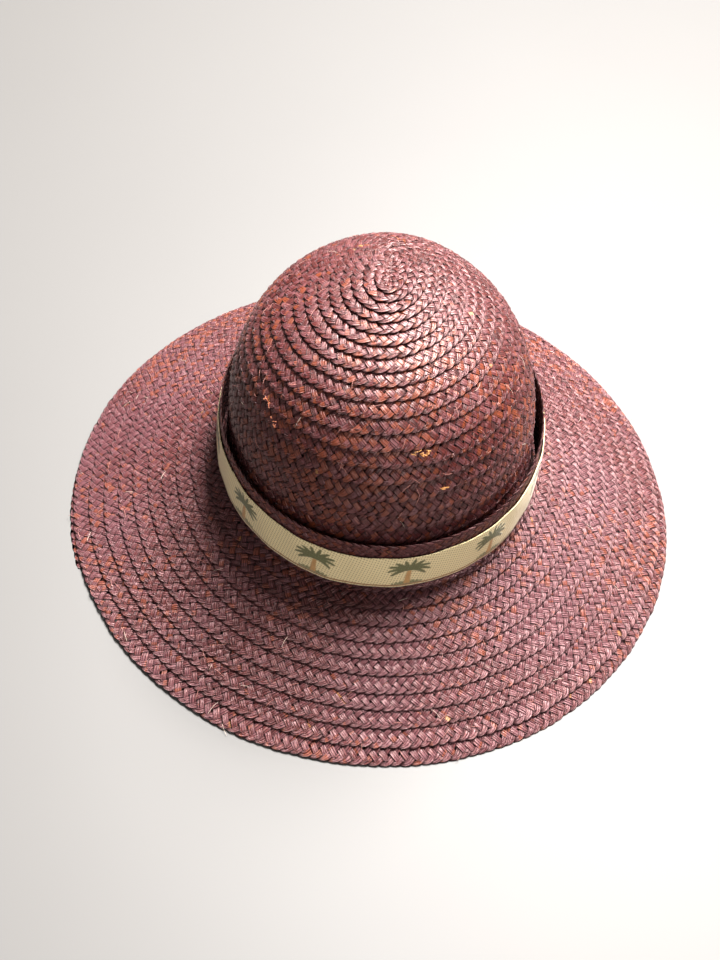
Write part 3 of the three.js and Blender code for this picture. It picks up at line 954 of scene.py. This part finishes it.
def palm_picture(x, y):
    """The woven tree at a place on the ribbon in millimetres from its foot: shares of leaf and of bark."""
    hub_x, hub_y = PALM_HUB
    lean = hub_x * (y / hub_y) ** 2
    trunk_half = TRUNK_HALF_WIDTH - TRUNK_TAPER * y + TRUNK_RING * np.cos(y * TAU / TRUNK_RING_PITCH)
    bark = smoothstep(trunk_half - np.abs(x - lean), -0.2, 0.25) * (y > TRUNK_FOOT) * (y < hub_y)
    leaf = np.zeros_like(x)
    for frond in PALM_FRONDS:
        leaf = np.maximum(leaf, palm_frond(x, y, *frond))
    blades = GRASS_HEIGHT + GRASS_BLADE_HEIGHT * np.abs(np.sin(x * 1.3)) - GRASS_FALLS * x ** 2
    grass = smoothstep(blades - y, -0.2, 0.3) * smoothstep(y, 0.5, 0.9)
    grass = grass * smoothstep(GRASS_HALF_WIDTH - np.abs(x), -0.5, 0.8)
    speckle = 0.5 + 0.5 * np.sin(x * 4.1 + y * 2.3)
    return np.maximum(leaf, grass * (0.65 + 0.35 * speckle)), bark * (1 - leaf)


def grid_faces(count_along, count_up):
    """Quads of a sheet, whose points come in rows across it, one after another along it."""
    corner = np.arange(count_along)[:, None] * (count_up + 1) + np.arange(count_up)[None, :]
    return np.stack([corner, corner + count_up + 1, corner + count_up + 2, corner + 1], -1).reshape(-1, 4)


def ribbon_looks(along, up, first_palm, pitch):
    """What the ribbon's material reads at each point: where it is on the ribbon, and the picture there."""
    x = (along - first_palm + pitch / 2) % pitch - pitch / 2
    y = up * RIBBON_HEIGHT + 0 * along
    leaf, bark = palm_picture(x / MM, y / MM - PALM_FOOT)
    line = smoothstep(y / MM, *LINE_EDGES[:2]) * (1 - smoothstep(y / MM, *LINE_EDGES[2:]))
    return {"along": along, "up": y, "leaf": leaf, "bark": bark, "line": LINE_SHARE * line}


def make_ribbon(material):
    """The ribbon round the hatband, lapped at the back."""
    count_along, count_up = RIBBON_STEPS
    turns = 1 + RIBBON_OVERLAP_TURNS
    share = np.linspace(0, 1, count_along + 1)[:, None]
    up = np.linspace(0, 1, count_up + 1)[None, :]
    angle = BACK + share * turns * TAU
    ring_angle = np.linspace(0, TAU, RING_STEPS)
    ring = place_on_band(ring_angle, 0, RIBBON_RADIUS)
    ring_run = np.append(0, np.cumsum(np.linalg.norm(np.diff(ring, axis=0), axis=1)))
    along = np.interp(angle % TAU, ring_angle, ring_run) + 0 * up
    picot = PICOT_HEIGHT * np.abs(np.sin(np.pi * along / PICOT_PITCH)) * smoothstep(up, PICOT_FROM, 1.0)
    sway = sum(height * np.sin(count * angle + start) for count, start, height in RIBBON_SWAYS)
    level = RIBBON_FOOT + RIBBON_HEIGHT * up + picot + sway
    ripple = sum(height * np.sin(count * angle + slant * up) for count, slant, height in RIBBON_RIPPLES)
    bow = RIBBON_BOW * np.sin(np.pi * up)
    radius = RIBBON_RADIUS - BAND_TAPER * (level - BAND_FOOT) + RIBBON_DRIFT * share + ripple + bow
    points = place_on_band(angle + 0 * up, level, radius)
    first_palm = np.interp(PALM_ANGLE, ring_angle, ring_run)
    looks = ribbon_looks(along, up, first_palm, ring_run[-1] / PALMS)
    faces = grid_faces(count_along, count_up)
    piece = build_mesh("palm_ribbon", points.reshape(-1, 3), [faces], looks, material)
    add_thickness(piece, RIBBON_THICKNESS)
    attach(piece, "hatband")
    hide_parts("ribbon")


def add_thickness(piece, thickness):
    """Gives a sheet its thickness, inwards from the face it was built as."""
    solidify = piece.modifiers.new("thickness", "SOLIDIFY")
    solidify.thickness = thickness
    solidify.offset = -1
    solidify.use_rim = True


def make_sweatband_seam(along, share, thread):
    """The sweatband's two rows of stitches, inside its tape."""
    stitches = []
    for from_foot in SWEATBAND_SEAMS:
        for start in np.arange(0, along[-1], SEAM_PITCH)[:-1]:
            inner = np.linspace(start, start + SEAM_STITCH, SEAM_STEPS)
            turn = BACK + np.interp(inner, along, share) * TAU
            sink = SEAM_SINK + SEAM_BULGE * np.sin(np.pi * np.linspace(0, 1, SEAM_STEPS))
            distance = np.full(SEAM_STEPS, HEAD_DISTANCE + SWEATBAND_FOOT - from_foot)
            stitches.append(place_on_body(turn, distance, -sink))
    return build_tubes("sweatband_stitches", stitches, SEAM_RADIUS, 5, thread)


def make_sweatband(material, thread):
    """The cotton tape sewn round the inside of the head line."""
    count_along, count_up = SWEATBAND_STEPS
    width = SWEATBAND_HEIGHT + SWEATBAND_FOOT
    share = np.linspace(0, 1 - SWEATBAND_SLIT, count_along + 1)[:, None]
    down = np.linspace(0, 1, count_up + 1)[None, :]
    angle = BACK + share * TAU
    distance = HEAD_DISTANCE - SWEATBAND_HEIGHT + width * down
    (slow, slow_height), (fast, fast_height) = SWEATBAND_RIPPLES
    ripple = slow_height * np.sin(slow * angle) * (1 - down) + fast_height * np.sin(fast * angle + 3 * down)
    points = place_on_body(angle + 0 * down, distance + 0 * angle, -SWEATBAND_INSET + ripple)
    along = np.append(0, np.cumsum(np.linalg.norm(np.diff(points[:, -1], axis=0), axis=1)))
    looks = {"along": along[:, None] + 0 * down, "up": down * width + 0 * angle}
    faces = grid_faces(count_along, count_up)
    piece = build_mesh("sweatband_tape", points.reshape(-1, 3), [faces], looks, material)
    add_thickness(piece, SWEATBAND_THICKNESS)
    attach(piece, "hat_body")
    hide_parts("sweatband")
    seam = make_sweatband_seam(along, share[:, 0], thread)
    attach(seam, "hat_body")


# ---------------------------------------------------------------- the studio

CAMERA_PLACE = (-0.00104, -0.62149, 0.77665)
CAMERA_AIM = (-0.00908, -0.02928, 0.053)
CAMERA_ROLL = np.radians(6.434)
CAMERA_LENS = 60
CAMERA_SENSOR = 36
FLOOR_HALF_WIDTH = 30
FLOOR_COLOURS = ((0.098, 0.095, 0.090, 1), (0.110, 0.107, 0.102, 1))
WORLD_COLOUR = (1.0, 0.945, 0.92, 1)
WORLD_STRENGTH = 0.21

# Each light's place, aim, size, power and colour. The key stands high at the back right.
LIGHTS = {
    "key": ((0.80, 1.34, 2.94), (0, 0, 0.06), 1.5, 500, (1.0, 0.97, 0.95)),
    "back": ((0.15, 0.86, 1.15), (0, 0, 0.15), 0.5, 32, (1.0, 0.98, 0.98)),
    "fill": ((0.5, -1.3, 0.7), (0, 0, 0.05), 1.0, 8, (1.0, 0.98, 0.96)),
}


def make_camera():
    data = bpy.data.cameras.new("camera")
    data.lens = CAMERA_LENS
    data.sensor_width = CAMERA_SENSOR
    data.sensor_fit = "AUTO"
    camera = bpy.data.objects.new("camera", data)
    gaze = Vector(CAMERA_AIM) - Vector(CAMERA_PLACE)
    turn = gaze.to_track_quat("-Z", "Y").to_matrix() @ Matrix.Rotation(CAMERA_ROLL, 3, "Z")
    camera.matrix_world = Matrix.Translation(CAMERA_PLACE) @ turn.to_4x4()
    bpy.context.scene.collection.objects.link(camera)
    bpy.context.scene.camera = camera


def make_area_light(name, place, aim, size, power, colour):
    data = bpy.data.lights.new(name, "AREA")
    data.shape = "DISK"
    data.size = size
    data.energy = power
    data.color = colour
    light = bpy.data.objects.new(name, data)
    light.location = place
    light.rotation_euler = (Vector(aim) - Vector(place)).to_track_quat("-Z", "Y").to_euler()
    bpy.context.scene.collection.objects.link(light)


def make_studio():
    world = bpy.data.worlds.new("studio")
    bpy.context.scene.world = world
    world.use_nodes = True
    background = world.node_tree.nodes["Background"]
    background.inputs["Color"].default_value = WORLD_COLOUR
    background.inputs["Strength"].default_value = WORLD_STRENGTH
    for name, settings in LIGHTS.items():
        make_area_light(name, *settings)
    bpy.context.scene.view_settings.view_transform = "Standard"


def make_floor():
    g = Graph("pale_floor")
    grain = g.noise(g.add("TexCoord").outputs["Object"], 3.0, 4.0)
    colour = g.mix(grain, *FLOOR_COLOURS)
    material = g.finish({"Base Color": colour, "Roughness": 0.55})
    mesh = bpy.data.meshes.new("floor")
    signs = ((-1, -1), (1, -1), (1, 1), (-1, 1))
    corners = [(x * FLOOR_HALF_WIDTH, y * FLOOR_HALF_WIDTH, 0) for x, y in signs]
    mesh.from_pydata(corners, [], [(0, 1, 2, 3)])
    mesh.materials.append(material)
    floor = bpy.data.objects.new("floor", mesh)
    bpy.context.scene.collection.objects.link(floor)


# Linear colours of the raffia, from the darkest dye, which also paints the shade between strands, to a
# bleached strand.
RAFFIA = dict(
    dark_dye_and_shade=(0.008, 0.0006, 0.001),
    deep=(0.040, 0.004, 0.003),
    body=(0.108, 0.014, 0.009),
    dusty=(0.126, 0.044, 0.054),
    pale=(0.300, 0.122, 0.104),
    rust=(0.230, 0.046, 0.010),
    gold=(0.500, 0.250, 0.080),
    crown_tint=(0.88, 0.76, 0.74),
)

RIBBON_CLOTH = dict(
    ground=(0.840, 0.685, 0.365),
    thread=(0.900, 0.810, 0.540),
    leaf=(0.115, 0.110, 0.046),
    bark=(0.660, 0.380, 0.150),
    line=(0.280, 0.120, 0.045),
)

COTTON_TAPE = ((0.060, 0.016, 0.020), (0.125, 0.045, 0.048))

# The two tones and the roughness of each thread and loose fibre.
THREADS = {
    "sewing_thread": ((0.050, 0.008, 0.010), (0.110, 0.022, 0.026), 0.6),
    "loose_straw": ((0.300, 0.070, 0.050), (0.420, 0.180, 0.140), 0.5),
    "rust_straw": ((0.340, 0.070, 0.020), (0.440, 0.140, 0.050), 0.4),
    "gold_straw": ((0.460, 0.170, 0.030), (0.580, 0.290, 0.080), 0.4),
    "pale_straw": ((0.620, 0.480, 0.360), (0.700, 0.560, 0.460), 0.45),
}

make_camera()
make_studio()
make_floor()
raffia = make_raffia("raffia", **RAFFIA)
threads = {name: make_thread(name, *look) for name, look in THREADS.items()}
ribbon_cloth = make_ribbon_cloth("ribbon_cloth", **RIBBON_CLOTH)
cotton_tape = make_tape("cotton_tape", *COTTON_TAPE)
make_body_plait(raffia)
make_sewing(threads["sewing_thread"])
make_loose_fibres(threads["loose_straw"], threads["pale_straw"])
make_splice_tufts(threads["rust_straw"], threads["gold_straw"])
make_sweatband(cotton_tape, threads["sewing_thread"])
make_band_rows(raffia)
make_ribbon(ribbon_cloth)
